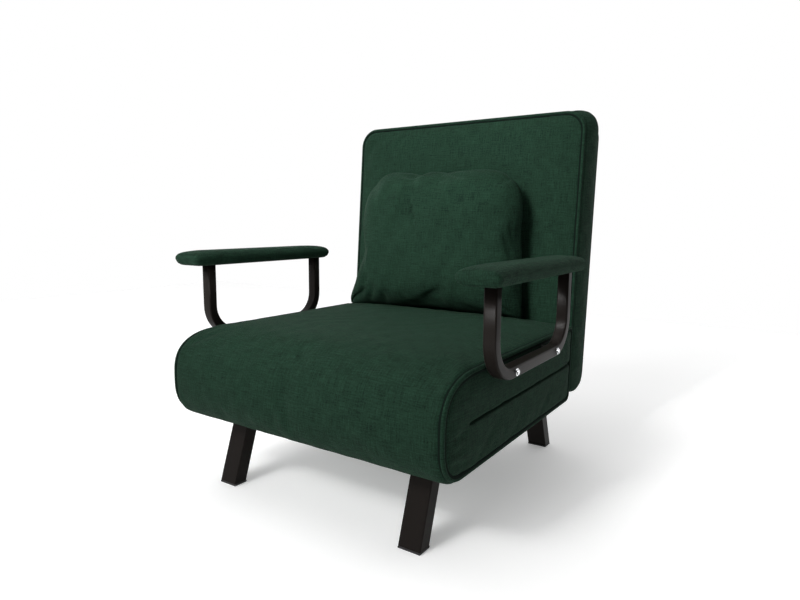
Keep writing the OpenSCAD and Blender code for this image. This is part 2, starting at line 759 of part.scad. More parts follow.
module back_frame_room() {
    for (side = [-1, 1]) at_side(side) {
        span_box(stile_box[0], stile_box[1], foam_clear);
        span_box([hinge_slot_low, -back_t, -back_drop - overrun],
            [hinge_slot_high, back_t, housing_r + slot_clear]);
    }
    for (z = [back_rail_low, back_rail_mid, back_frame_top - tube])
        span_box(back_rail_box(z)[0], back_rail_box(z)[1], foam_clear);
    for (bay = back_bays, i = [0:back_slats_per_bay - 1])
        let (b = back_slat_box(back_slat_z(bay, i))) span_box(b[0], b[1], foam_clear);
}

module back_cushion() {
    color("darkslategray")
        in_back()
            one_mesh()
                difference() {
                    loft([for (i = [0:len(back_levels) - 1]) back_ring(back_levels[i])]);
                    back_frame_room();
                }
}

module back_stile(side) {
    color("dimgray") in_back() at_side(side) tube_box(stile_box[0], stile_box[1], 2);
}

module back_rail(z) {
    color("dimgray") in_back() tube_box(back_rail_box(z)[0], back_rail_box(z)[1], 0);
}

module back_slats() {
    color("burlywood")
        in_back()
            for (bay = back_bays, i = [0:back_slats_per_bay - 1])
                let (b = back_slat_box(back_slat_z(bay, i))) span_box(b[0], b[1]);
}

module back_lug(side) {
    color("gray")
        in_back()
            at_side(side)
                difference() {
                    union() {
                        bar_x(lug_x, plate_t, plate_r, 0, 0, round_fn);
                        span_box([lug_x, -tube / 2, 0], [lug_x + plate_t, tube / 2, back_rail_low]);
                    }
                    bar_x(lug_x - overrun, plate_t + 2 * overrun, pin_r, 0, 0, round_fn);
                }
}

module hinge_pin(side) {
    color("silver")
        at_side(side) {
            bar_x(wheel_x, lug_x + plate_t - wheel_x, pin_r, hinge_y, hinge_h, round_fn);
            bar_x(lug_x + plate_t, pin_head_t, pin_head_r, hinge_y, hinge_h, round_fn);
        }
}

module pin_clips() {
    color("silver")
        for (side = [-1, 1]) at_side(side)
            bar_x(wheel_x - clip_t, clip_t, clip_r, hinge_y, hinge_h, round_fn);
}

// Pillow: two bowed sheets on one grid, joined round a soft rounded outline
pillow_cols = 22;
pillow_rows = 16;
pillow_lean = 6;
pillow_rest = 6.3;
pillow_stand = -12.8;
pillow_round = 0.13;
pillow_fill_power = 0.42;
pillow_edge_share = 0.03;

function pillow_bow(u, v) = pow(max(0, (1 - pow(abs(u), 3.2)) * (1 - pow(abs(v), 3.2))), pillow_fill_power);
function pillow_point(u, v, face) = [
    pillow_w / 2 * u * (1 - pillow_round * v * v * abs(u)),
    face * pillow_t / 2 * (pillow_edge_share + (1 - pillow_edge_share) * pillow_bow(u, v)),
    pillow_h / 2 * (1 + v * (1 - pillow_round * u * u * abs(v)))];
function pillow_grid(face) = [for (j = [0:pillow_rows], i = [0:pillow_cols])
    pillow_point(sin(90 * (2 * i / pillow_cols - 1)), sin(90 * (2 * j / pillow_rows - 1)), face)];

module pillow_form() {
    cols = pillow_cols + 1;
    count = cols * (pillow_rows + 1);
    rim = concat(
        [for (i = [0:pillow_cols - 1]) i],
        [for (j = [0:pillow_rows - 1]) j * cols + pillow_cols],
        [for (i = [pillow_cols:-1:1]) pillow_rows * cols + i],
        [for (j = [pillow_rows:-1:1]) j * cols]);
    n = len(rim);
    polyhedron(
        points = concat(pillow_grid(-1), pillow_grid(1)),
        faces = concat(
            [for (j = [0:pillow_rows - 1], i = [0:pillow_cols - 1]) let (a = j * cols + i, b = a + cols)
                each [[a, b, a + 1], [a + 1, b, b + 1], [count + a, count + a + 1, count + b],
                      [count + a + 1, count + b + 1, count + b]]],
            [for (k = [0:n - 1]) let (a = rim[k], b = rim[(k + 1) % n])
                each [[a, b, count + a], [b, count + b, count + a]]]));
}

module pillow() {
    color("darkslategray")
        translate([pillow_offset, hinge_y, hinge_h])
            rotate([-back_lean, 0, 0])
                translate([0, -back_t / 2 - back_crown - pillow_rest, seat_top_h - hinge_h + seat_crown + pillow_stand])
                    rotate([-pillow_lean + back_lean, 0, 0])
                        translate([0, -pillow_t / 2, 0])
                            pillow_form();
}

seat_cushion();
upper_rail(1);  // upper_rail_left
upper_rail(-1);  // upper_rail_right
frame_cross(upper_cross_box(cross_front_y));  // upper_cross_front
frame_cross(upper_cross_box(cross_rear_y));  // upper_cross_rear
post(1, cross_front_y);  // post_front_left
post(-1, cross_front_y);  // post_front_right
post(1, cross_rear_y);  // post_rear_left
post(-1, cross_rear_y);  // post_rear_right
lower_rail(1);  // lower_rail_left
lower_rail(-1);  // lower_rail_right
frame_cross(lower_cross_box(cross_front_y));  // lower_cross_front
frame_cross(lower_cross_box(cross_rear_y));  // lower_cross_rear
seat_slats();
dust_cover();
leg_front(1);  // leg_front_left
leg_front(-1);  // leg_front_right
leg_rear(1);  // leg_rear_left
leg_rear(-1);  // leg_rear_right
foot_caps();
leg_bolts();
arm_bracket(1);  // arm_bracket_left
arm_bracket(-1);  // arm_bracket_right
arm_plate(1);  // arm_plate_left
arm_plate(-1);  // arm_plate_right
arm_board(1);  // arm_board_left
arm_board(-1);  // arm_board_right
arm_pad(1);  // arm_pad_left
arm_pad(-1);  // arm_pad_right
arm_bolts();
arm_spacers();
arm_nuts();
pad_screws();
hinge_bracket(1);  // hinge_bracket_left
hinge_bracket(-1);  // hinge_bracket_right
hinge_bolts();
ratchet_housing(1);  // ratchet_housing_left
ratchet_housing(-1);  // ratchet_housing_right
ratchet_pawls();
back_cushion();
back_stile(1);  // back_stile_left
back_stile(-1);  // back_stile_right
back_rail(back_rail_low);  // back_rail_bottom
back_rail(back_rail_mid);  // back_rail_middle
back_rail(back_frame_top - tube);  // back_rail_top
back_slats();
back_lug(1);  // back_lug_left
back_lug(-1);  // back_lug_right
hinge_pin(1);  // hinge_pin_left
hinge_pin(-1);  // hinge_pin_right
ratchet_wheel(1);  // ratchet_wheel_left
ratchet_wheel(-1);  // ratchet_wheel_right
pin_clips();
pillow();
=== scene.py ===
import json
import math

import bmesh
import bpy
import numpy as np
from mathutils import Matrix, Vector
from mathutils.bvhtree import BVHTree
from mathutils.kdtree import KDTree


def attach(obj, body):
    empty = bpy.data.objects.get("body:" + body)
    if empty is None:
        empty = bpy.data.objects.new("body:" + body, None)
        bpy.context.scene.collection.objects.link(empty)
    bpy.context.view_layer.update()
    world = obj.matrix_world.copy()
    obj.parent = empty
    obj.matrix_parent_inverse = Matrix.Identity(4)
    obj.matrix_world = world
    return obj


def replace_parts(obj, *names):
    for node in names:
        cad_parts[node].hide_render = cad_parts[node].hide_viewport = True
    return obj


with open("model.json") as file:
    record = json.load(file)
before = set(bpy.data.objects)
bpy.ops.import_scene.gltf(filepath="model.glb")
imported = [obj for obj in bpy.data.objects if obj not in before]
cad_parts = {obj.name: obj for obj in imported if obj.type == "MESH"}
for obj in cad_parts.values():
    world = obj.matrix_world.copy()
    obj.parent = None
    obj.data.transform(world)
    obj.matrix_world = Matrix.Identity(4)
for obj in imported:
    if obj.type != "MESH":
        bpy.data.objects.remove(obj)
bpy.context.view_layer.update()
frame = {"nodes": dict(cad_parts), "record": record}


print("loaded", len(frame["nodes"]), "nodes")


def hexColour(code):
    values = [int(code[i:i + 2], 16) / 255 for i in (1, 3, 5)]
    return [v / 12.92 if v <= 0.04045 else ((v + 0.055) / 1.055) ** 2.4 for v in values] + [1.0]


# Adds a node; a keyword is a property of the node, and an entry of values is a socket's number or link
def addNode(tree, kind, values=None, **settings):
    node = tree.nodes.new(kind)
    for key, value in settings.items():
        setattr(node, key, value)
    for key, value in (values or {}).items():
        if isinstance(value, bpy.types.NodeSocket):
            tree.links.new(value, node.inputs[key])
        else:
            node.inputs[key].default_value = value
    return node


def newMaterial(name, colour, **sockets):
    material = bpy.data.materials.new(name)
    material.use_nodes = True
    shader = material.node_tree.nodes["Principled BSDF"]
    shader.inputs["Base Color"].default_value = hexColour(colour)
    for key, value in sockets.items():
        shader.inputs[key.replace("_", " ")].default_value = value
    return material


# Weave: lengths in metres, noises in turns per metre, shares of the tone and the two ends of its ramp
weave = {"thread": 0.0013, "threadShare": 0.16, "along": 34, "across": 520, "slubShare": 0.62, "grain": 330,
         "grainShare": 0.28, "mottle": 45, "mottleShare": 0.10, "ramp": (0.37, 0.63), "relief": 0.0012}


# Linen-look polyester weave, dyed bottle green: threads 1.3 mm apart, slubs 2 mm by 30 mm both ways
def weaveMaterial(name, dark, light, sheen):
    material = newMaterial(name, light, Roughness=0.9, Sheen_Weight=sheen, Sheen_Roughness=0.4,
                           Specular_IOR_Level=0.06)
    tree = material.node_tree
    shader = tree.nodes["Principled BSDF"]
    shader.inputs["Sheen Tint"].default_value = hexColour("#7fa08c")
    uv = addNode(tree, "ShaderNodeUVMap", uv_map="weave").outputs["UV"]
    axes = addNode(tree, "ShaderNodeSeparateXYZ", {0: uv}).outputs

    def noise(alongU, alongV, detail):
        scaled = addNode(tree, "ShaderNodeVectorMath", {0: uv, 1: (alongU, alongV, 1)}, operation="MULTIPLY")
        settings = {"Vector": scaled.outputs[0], "Scale": 1.0, "Detail": detail, "Roughness": 0.6}
        return addNode(tree, "ShaderNodeTexNoise", settings).outputs["Fac"]

    def maths(kind, a, b=0.0):
        return addNode(tree, "ShaderNodeMath", {0: a, 1: b}, operation=kind).outputs[0]

    def part(value, share):
        return maths("MULTIPLY", value, share)

    across, along = weave["across"], weave["along"]
    slubs = maths("ADD", part(noise(across, along, 2), 0.5), part(noise(along, across, 2), 0.5))
    grain = part(noise(weave["grain"], weave["grain"], 2), weave["grainShare"])
    mottle = part(noise(weave["mottle"], weave["mottle"], 4), weave["mottleShare"])
    tone = maths("ADD", part(slubs, weave["slubShare"]), maths("ADD", grain, mottle))
    ramp = addNode(tree, "ShaderNodeValToRGB", {0: tone})
    for element, place, colour in zip(ramp.color_ramp.elements, weave["ramp"], (dark, light)):
        element.position = place
        element.color = hexColour(colour)
    tree.links.new(ramp.outputs[0], shader.inputs["Base Color"])
    turns = 2 * math.pi / weave["thread"]
    threads = maths("MULTIPLY", maths("SINE", part(axes[0], turns)), maths("SINE", part(axes[1], turns)))
    height = maths("ADD", part(threads, weave["threadShare"]), slubs)
    bump = addNode(tree, "ShaderNodeBump", {"Height": height, "Strength": 0.6, "Distance": weave["relief"]})
    tree.links.new(bump.outputs[0], shader.inputs["Normal"])
    return material


# Satin enamel on steel, with a light orange-peel 4 mm across
def enamelMaterial(name, colour, roughness):
    material = newMaterial(name, colour, Roughness=roughness, Specular_IOR_Level=0.05)
    tree = material.node_tree
    place = addNode(tree, "ShaderNodeTexCoord").outputs["Object"]
    peel = addNode(tree, "ShaderNodeTexNoise", {"Vector": place, "Scale": 250.0, "Detail": 2.0})
    relief = {"Height": peel.outputs["Fac"], "Strength": 0.08, "Distance": 0.0004}
    bump = addNode(tree, "ShaderNodeBump", relief)
    tree.links.new(bump.outputs[0], tree.nodes["Principled BSDF"].inputs["Normal"])
    return material


# Plain plywood: grain lines 2 to 5 mm apart, drawn out along the board
def woodMaterial(name):
    material = newMaterial(name, "#c9a878", Roughness=0.6)
    tree = material.node_tree
    place = addNode(tree, "ShaderNodeTexCoord").outputs["Object"]
    drawn = addNode(tree, "ShaderNodeVectorMath", {0: place, 1: (260, 14, 260)}, operation="MULTIPLY")
    grain = addNode(tree, "ShaderNodeTexNoise", {"Vector": drawn.outputs[0], "Scale": 1.0, "Detail": 3.0})
    ramp = addNode(tree, "ShaderNodeValToRGB", {0: grain.outputs["Fac"]})
    ramp.color_ramp.elements[0].color = hexColour("#a98555")
    ramp.color_ramp.elements[1].color = hexColour("#d3b485")
    tree.links.new(ramp.outputs[0], tree.nodes["Principled BSDF"].inputs["Base Color"])
    return material


materials = {
    "fabric": weaveMaterial("fabric", "#0b1812", "#1f382a", 0.05),
    # Painted shade: a near-black copy of the cloth for the tube beside the piping, standing in for the
    # shadow in the seam's valley
    "fold": newMaterial("paintedSeamShadeCloth", "#0b1611", Roughness=0.95, Specular_IOR_Level=0.05),
    "enamel": enamelMaterial("enamel", "#1c1917", 0.3),
    "frame_steel": enamelMaterial("frame_steel", "#2b2c2e", 0.5),
    "hinge_steel": enamelMaterial("hinge_steel", "#232426", 0.42),
    # Polished chrome on the bolt heads
    "bright_steel": newMaterial("bright_steel", "#d3d5d7", Metallic=1.0, Roughness=0.2),
    # Zinc-plated fasteners
    "zinc_steel": newMaterial("zinc_steel", "#b4b7ba", Metallic=1.0, Roughness=0.34),
    "wood": woodMaterial("wood"),
    # Moulded polyethylene
    "black_plastic": newMaterial("black_plastic", "#18191a", Roughness=0.55),
    # Thin spun cloth under the seat
    "cover_fabric": newMaterial("cover_fabric", "#1a1b1c", Roughness=0.95, Sheen_Weight=0.15),
}
for entry in frame["record"]["subparts"]:
    cad = frame["nodes"][entry["node"]]
    cad.data.materials.clear()
    cad.data.materials.append(materials[entry["material_slot"]])
print("materials", len(materials))


def newPiece(name, points, faces, slot, smooth=True, finish=None):
    mesh = bpy.data.meshes.new(name)
    mesh.from_pydata(np.asarray(points).tolist(), [], [[int(i) for i in face] for face in faces])
    mesh.polygons.foreach_set("use_smooth", [smooth] * len(mesh.polygons))
    mesh.materials.append(materials[finish or slot])
    piece = bpy.data.objects.new(name, mesh)
    bpy.context.scene.collection.objects.link(piece)
    return piece


def readPoints(mesh):
    points = np.empty(len(mesh.vertices) * 3)
    mesh.vertices.foreach_get("co", points)
    return points.reshape(-1, 3)


def readNormals(mesh):
    normals = np.empty(len(mesh.vertices) * 3)
    mesh.vertices.foreach_get("normal", normals)
    return normals.reshape(-1, 3)


def writePoints(mesh, points):
    mesh.vertices.foreach_set("co", np.asarray(points).ravel())
    mesh.update()


def evaluatedMesh(piece):
    bpy.context.view_layer.update()
    return piece.evaluated_get(bpy.context.evaluated_depsgraph_get())


def applyModifiers(piece, smooth=True):
    fresh = bpy.data.meshes.new_from_object(evaluatedMesh(piece))
    stale = piece.data
    piece.modifiers.clear()
    piece.data = fresh
    bpy.data.meshes.remove(stale)
    fresh.polygons.foreach_set("use_smooth", [smooth] * len(fresh.polygons))


def remesh(piece, size):
    tool = piece.modifiers.new("Remesh", "REMESH")
    tool.mode = "VOXEL"
    tool.voxel_size = size
    applyModifiers(piece)


def subdivide(piece):
    tool = piece.modifiers.new("Subdivision", "SUBSURF")
    tool.levels = tool.render_levels = 1
    applyModifiers(piece)


# Blows a cloth skin up against its pinned seams; each point's move m is kept to cap * tanh(m / cap)
def inflate(piece, pinned, pressure, slack, cap, frames=20):
    group = piece.vertex_groups.new(name="seam")
    group.add([int(i) for i in np.flatnonzero(pinned)], 1.0, "REPLACE")
    cloth = piece.modifiers.new("Cloth", "CLOTH")
    cloth.settings.vertex_group_mass = "seam"
    cloth.settings.quality = 6
    cloth.settings.use_pressure = True
    cloth.settings.uniform_pressure_force = pressure
    cloth.settings.shrink_min = -slack
    cloth.settings.shrink_max = -slack
    cloth.settings.tension_stiffness = 25
    cloth.settings.compression_stiffness = 25
    cloth.settings.shear_stiffness = 8
    cloth.settings.bending_stiffness = 0.4
    cloth.settings.effector_weights.gravity = 0
    start = readPoints(piece.data)
    for step in range(1, frames + 1):
        bpy.context.scene.frame_set(step)
    end = readPoints(evaluatedMesh(piece).data)
    piece.modifiers.remove(cloth)
    piece.vertex_groups.clear()
    bpy.context.scene.frame_set(1)
    move = end - start
    length = np.linalg.norm(move, axis=1)[:, None] + 1e-9
    writePoints(piece.data, start + move / length * cap * np.tanh(length / cap))
    largest = round(float(length.max()) * 1000, 1)
    print("  cloth", piece.name, len(start), "points, largest move", largest, "mm")


# Weave coordinates in metres: each face takes the plane that it faces most
def weaveUv(piece):
    mesh = piece.data
    points = readPoints(mesh)
    normals = np.empty(len(mesh.polygons) * 3)
    mesh.polygons.foreach_get("normal", normals)
    totals = np.empty(len(mesh.polygons), dtype=np.int32)
    mesh.polygons.foreach_get("loop_total", totals)
    corners = np.empty(len(mesh.loops), dtype=np.int32)
    mesh.loops.foreach_get("vertex_index", corners)
    facing = np.repeat(np.abs(normals.reshape(-1, 3)).argmax(1), totals)
    pairs = np.array([[1, 2], [0, 2], [0, 1]])[facing]
    place = points[corners]
    uv = np.take_along_axis(place, pairs, 1)
    layer = mesh.uv_layers.get("weave") or mesh.uv_layers.new(name="weave")
    layer.data.foreach_set("uv", uv.ravel())


# Even points along a closed line, about step apart
def resample(line, step):
    closed = np.vstack([line, line[:1]])
    run = np.r_[0, np.cumsum(np.linalg.norm(np.diff(closed, axis=0), axis=1))]
    at = np.linspace(0, run[-1], int(run[-1] / step), endpoint=False)
    return np.stack([np.interp(at, run, closed[:, k]) for k in range(closed.shape[1])], 1)


def outward(outline):
    ahead = np.roll(outline, -1, 0) - np.roll(outline, 1, 0)
    return np.stack([ahead[:, 1], -ahead[:, 0]], 1) / np.linalg.norm(ahead, axis=1)[:, None]


# A quarter of a superellipse from start to start + 90 degrees: (c + a cos^k, c + b sin^k), k = 2 / power
def quarter(centre, a, b, start, power=2.0, count=14):
    turn = np.radians(np.linspace(start, start + 90, count))
    c, s = np.cos(turn), np.sin(turn)
    return np.stack([centre[0] + a * np.sign(c) * np.abs(c) ** (2 / power),
                     centre[1] + b * np.sign(s) * np.abs(s) ** (2 / power)], 1)


def roundedRect(low, high, radii):
    corners = [((low[0], low[1]), 180, 1, 1), ((high[0], low[1]), 270, -1, 1),
               ((high[0], high[1]), 0, -1, -1), ((low[0], high[1]), 90, 1, -1)]
    return np.vstack([quarter((c[0] + sx * r, c[1] + sy * r), r, r, start)
                      for (c, start, sx, sy), r in zip(corners, radii)])


# Quads between neighbouring rings of count points, with a cap on each end where the rings don't close
def ringFaces(count, rings, closed):
    faces = []
    for k in range(rings if closed else rings - 1):
        low, high = k * count, (k + 1) % rings * count
        faces += [[low + i, low + (i + 1) % count, high + (i + 1) % count, high + i] for i in range(count)]
    if not closed:
        faces += [list(range(count))[::-1], list(range((rings - 1) * count, rings * count))]
    return faces


# A closed slab on an outline (p, q): rings drawn in by edge (1 - sin a) at half - edge (1 - cos a),
# then cap rings that shrink to the middle and crown by crown (1 - s^3); the band between the
# rounded edges stands out by bulge (1 - (t / band)^2)
def slab(outline, half, edge, crown, bulge=0.0):
    normal = outward(outline)
    centre = outline.mean(0)
    count = len(outline)
    inner = outline - normal * edge
    rings = []
    for side, rise in zip((-1, 1), crown):
        part = []
        for s in np.linspace(0.04, 0.96, 12):
            height = side * (half + rise * (1 - s ** 3))
            part.append(np.c_[centre + (inner - centre) * s, np.full(count, height)])
        for a in np.linspace(0, math.pi / 2, 6):
            height = side * (half - edge * (1 - math.cos(a)))
            part.append(np.c_[outline - normal * edge * (1 - math.sin(a)), np.full(count, height)])
        if side < 0:
            band = half - edge
            out = normal * np.broadcast_to(bulge, count)[:, None]
            for t in np.linspace(-0.9, 0.9, 9) * band:
                part.append(np.c_[outline + out * (1 - (t / band) ** 2), np.full(count, t)])
        rings += part if side < 0 else part[::-1]
    return np.vstack(rings), ringFaces(count, len(rings), False)


# A tube of the given section (m, 2) along a path, with the section's axes given at each point
def sweep(path, first, second, section, closed):
    rings = [path[i] + section[:, :1] * first[i] + section[:, 1:] * second[i] for i in range(len(path))]
    return np.vstack(rings), ringFaces(len(section), len(path), closed)


def circle(radius, count=12):
    turn = np.linspace(0, 2 * math.pi, count, endpoint=False)
    return radius * np.stack([np.cos(turn), np.sin(turn)], 1)


# Distance from each point (m, 2) to the nearest point of an outline, worked out block by block
def awayFrom(points, outline, block=4000):
    away = np.empty(len(points))
    for start in range(0, len(points), block):
        part = points[start:start + block]
        away[start:start + block] = np.sqrt(((part[:, None] - outline[None]) ** 2).sum(2)).min(1)
    return away


# Piping: the valley's reach, depth and width, the bead's height over the cover and the extra radius of the
# near-black tube that paints the valley's shade
piping = {"reach": 0.016, "valley": 0.0034, "valleyWidth": 0.006, "proud": 0.0014, "shadeTubeMargin": 0.0028}


# Sewn piping along a closed path with outward normals: a valley in the cover, a near-black tube in it that
# paints the valley's shade, and a bead in it
def sewPiping(name, cover, path, normals, radius, body):
    tree = KDTree(len(path))
    for i, place in enumerate(path):
        tree.insert(place, i)
    tree.balance()
    points = readPoints(cover.data)
    for k, point in enumerate(points):
        _, i, away = tree.find(point)
        if away < piping["reach"]:
            points[k] -= normals[i] * piping["valley"] * math.exp(-(away / piping["valleyWidth"]) ** 2)
    writePoints(cover.data, points)
    ahead = np.roll(path, -1, 0) - np.roll(path, 1, 0)
    ahead /= np.linalg.norm(ahead, axis=1)[:, None]
    across = np.cross(ahead, normals)
    # The second, wider tube is painted shade: near-black cloth that shows as a dark ring round the bead
    shadeTubeRadius = radius + piping["shadeTubeMargin"]
    parts = []
    for part, size, deep, finish in (("Bead", radius, radius - piping["proud"], "fabric"),
                                     ("PaintedShade", shadeTubeRadius, shadeTubeRadius, "fold")):
        points, faces = sweep(path - normals * deep, normals, across, circle(size), True)
        piece = newPiece(name + part, points, faces, "fabric", finish=finish)
        weaveUv(piece)
        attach(piece, body)
        parts.append(piece)
    return parts


# A box's corners, with x slowest and z fastest, and its faces, which all look outward
def boxCorners(low, high):
    spans = list(zip(low, high))
    return np.array([(x, y, z) for x in spans[0] for y in spans[1] for z in spans[2]])


boxFaces = [[0, 1, 3, 2], [4, 6, 7, 5], [0, 4, 5, 1], [2, 3, 7, 6], [0, 2, 6, 4], [1, 5, 7, 3]]


# Cuts the same box out of both sides of a piece; turn places the box's corners
def cutRoom(piece, low, high, turn=None):
    for sign in (1, -1):
        corners = boxCorners(low, high) * (sign, 1, 1)
        if turn:
            corners = turn(corners)
        shape = bpy.data.meshes.new("room")
        shape.from_pydata(corners.tolist(), [], [face[::sign] for face in boxFaces])
        room = bpy.data.objects.new("room", shape)
        bpy.context.scene.collection.objects.link(room)
        tool = piece.modifiers.new("Room", "BOOLEAN")
        tool.operation = "DIFFERENCE"
        tool.object = room
        tool.solver = "EXACT"
        applyModifiers(piece)
        bpy.data.objects.remove(room)
        bpy.data.meshes.remove(shape)


# Moves each point that is nearer than gap to another piece, looking along a direction, back to gap
def restAgainst(piece, other, direction, gap):
    tree = BVHTree.FromObject(other, bpy.context.evaluated_depsgraph_get())
    points = readPoints(piece.data)
    way = Vector(direction).normalized()
    moved = 0
    for i, point in enumerate(points):
        origin = Vector(point) - way * 0.4
        hit = tree.ray_cast(origin, way)
        if hit[0] is not None and hit[3] - gap < 0.4:
            points[i] = np.array(origin + way * (hit[3] - gap))
            moved += 1
    writePoints(piece.data, points)
    print("  rest", piece.name, "on", other.name, moved, "points")


# Depth of soft creases at points (u, v): each is a line from a to b with a width and a depth
def creaseDepth(u, v, creases):
    depth = np.zeros(len(u))
    for ua, va, ub, vb, width, deep in creases:
        du, dv = ub - ua, vb - va
        share = np.clip(((u - ua) * du + (v - va) * dv) / (du * du + dv * dv + 1e-12), 0, 1)
        away = np.hypot(u - ua - share * du, v - va - share * dv)
        fade = np.sin(math.pi * (0.15 + 0.8 * share)) if du or dv else 1
        depth += deep * fade * np.exp(-(away / width) ** 2)
    return depth


# How far apart the points of the cushions' outlines stand, and the voxels that remesh the cushions
outlineStep, cushionVoxel = 0.006, 0.0095

# Seat: one cover folded round the front, with a slit between its layers at both sides
seat = {"half": 0.3215, "front": -0.371, "rear": 0.209, "low": 0.1457, "top": 0.3195, "edge": 0.011,
        "noseA": 0.118, "noseB": 0.084, "lowA": 0.066, "lowB": 0.072, "rearRadius": 0.014,
        "layer": 0.246, "layerBack": 0.003, "layerLean": 0.075, "crown": 0.008, "widest": 0.3240,
        "slit": 0.235, "slitFront": -0.292, "slitHalf": 0.0021, "slitDepth": 0.026, "lip": 0.004,
        "lipWidth": 0.006, "pipingX": 0.3177, "pipingRadius": 0.0044, "sag": 0.004, "lump": 0.0007,
        "slot": ((0.2385, 0.116, 0.120), (0.2480, 0.240, 0.2245))}
# Creases of the side near its front end, then of the lower layer: y, z to y, z, with width and depth
sideCreases = [
    (-0.345, 0.222, -0.300, 0.228, 0.006, 0.0030), (-0.350, 0.205, -0.300, 0.200, 0.006, 0.0025),
    (-0.344, 0.185, -0.290, 0.176, 0.007, 0.0030), (-0.335, 0.165, -0.280, 0.160, 0.006, 0.0022),
    (-0.250, 0.170, -0.180, 0.215, 0.010, 0.0022), (-0.120, 0.160, -0.060, 0.210, 0.012, 0.0020),
    (0.020, 0.165, 0.080, 0.212, 0.010, 0.0020), (-0.350, 0.250, -0.310, 0.262, 0.007, 0.0018)]


def seatOutline(inset=0.0):
    f, r, b, t = seat["front"] + inset, seat["rear"] - inset, seat["low"] + inset, seat["top"] - inset
    small = seat["rearRadius"]
    line = np.vstack([
        [[f + seat["lowA"], b]],
        quarter((r - small, b + small), small, small, 270, count=6),
        quarter((r - small, t - small), small, small, 0, count=6),
        quarter((f + seat["noseA"], t - seat["noseB"]), seat["noseA"], seat["noseB"], 90, 2.7),
        quarter((f + seat["lowA"], b + seat["lowB"]), seat["lowA"], seat["lowB"], 180, 2.5)[:-1]])
    # The upper layer's rear follows the leaning backrest
    high = (line[:, 1] > seat["layer"]) & (line[:, 0] > 0.15)
    line[high, 0] += seat["layerBack"] + (line[high, 1] - seat["layer"]) * seat["layerLean"]
    return resample(line, outlineStep)


points, faces = slab(seatOutline(), seat["half"] - 0.002, seat["edge"], (0.003, 0.003))
seatCushion = newPiece("seatCover", points[:, [2, 0, 1]], faces, "fabric")
remesh(seatCushion, cushionVoxel)
points = readPoints(seatCushion.data)
x, y, z = points.T
# Crown of the top: crown (1 - (x / half)^4) (1 - ((y - middle) / reach)^4), growing over the upper 78 mm
share = np.clip((z - 0.24) / 0.078, 0, 1) ** 2
lift = seat["crown"] * (1 - (x / 0.32) ** 4) * np.clip(1 - ((y + 0.05) / 0.30) ** 4, 0, 1)
points[:, 2] += share * lift
writePoints(seatCushion.data, points)
# The seam, the underside and the rear stay where they are
atSeam = (np.abs(points[:, 0]) > 0.304) & (awayFrom(points[:, 1:], seatOutline(0.004)) < 0.012)
inflate(seatCushion, atSeam | (points[:, 2] < 0.155) | (points[:, 1] > 0.2), 3.0, 0.006, 0.010)
subdivide(seatCushion)


# Cuts edge loops at the slit's lips into the side faces, so that the groove has crisp edges
def cutSides(piece, heights, beyond, startY):
    shape = bmesh.new()
    shape.from_mesh(piece.data)
    for height in heights:
        chosen = []
        for face in shape.faces:
            middle = face.calc_center_median()
            if abs(middle.x) > beyond and middle.y > startY and abs(middle.z - height) < 0.02:
                chosen.append(face)
        edges = list(dict.fromkeys(edge for face in chosen for edge in face.edges))
        corners = list(dict.fromkeys(corner for face in chosen for corner in face.verts))
        parts = edges + corners + chosen
        bmesh.ops.bisect_plane(shape, geom=parts, plane_co=(0, 0, height), plane_no=(0, 0, 1))
    shape.to_mesh(piece.data)
    shape.free()
    piece.data.polygons.foreach_set("use_smooth", [True] * len(piece.data.polygons))


lipRises = (-0.0075, -0.0038, -0.0019, 0.0019, 0.0038, 0.0075)
cutSides(seatCushion, [seat["slit"] + rise for rise in lipRises], 0.27, -0.31)
points = readPoints(seatCushion.data)
side = np.abs(points[:, 0]) > 0.285
away = np.abs(points[:, 2] - seat["slit"])
run = np.clip((points[:, 1] - seat["slitFront"]) / 0.008, 0, 1)
# The slit is deep next to its middle, and its lips round off as a parabola
lips = seat["lip"] * np.clip(1 - (away - seat["slitHalf"]) / seat["lipWidth"], 0, 1) ** 2
depth = np.where(away < seat["slitHalf"], seat["slitDepth"], lips)
points[:, 0] -= np.sign(points[:, 0]) * side * run * depth
points[:, 0] = np.clip(points[:, 0], -seat["widest"], seat["widest"])
for sign in (-1, 1):
    flank = sign * points[:, 0] > 0.31
    points[flank, 0] -= sign * creaseDepth(points[flank, 1], points[flank, 2], sideCreases)
# The front roll sags, and the cover has low lumps some 90 mm apart
x, y, z = points.T
sag = np.clip((-0.225 - y) / 0.07, 0, 1)
points[:, 2] -= seat["sag"] * sag ** 2 * (3 - 2 * sag) * np.clip((0.24 - z) / 0.06, 0, 1)
inside = np.clip((0.30 - np.abs(x)) / 0.05, 0, 1)
lumps = np.sin(71 * x + 2 * np.sin(29 * y)) * np.sin(63 * y + 38 * z + 2 * np.sin(31 * x)) * inside
points[:, 2] += seat["lump"] * lumps * (z > 0.25)
points[:, 1] -= seat["lump"] * lumps * (y < -0.33)
writePoints(seatCushion.data, points)
outline = seatOutline(0.0032)
for sign, name in ((1, "seatPipingLeft"), (-1, "seatPipingRight")):
    path = np.c_[np.full(len(outline), sign * seat["pipingX"]), outline]
    normals = np.c_[np.full(len(outline), sign), outward(outline)] / math.sqrt(2)
    sewPiping(name, seatCushion, path, normals, seat["pipingRadius"], "seat_base")
# Slots for the hinge plates, open to the rear and below
cutRoom(seatCushion, *seat["slot"])
weaveUv(seatCushion)
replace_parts(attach(seatCushion, "seat_base"), "seat_cushion")
print("seat", len(seatCushion.data.vertices))

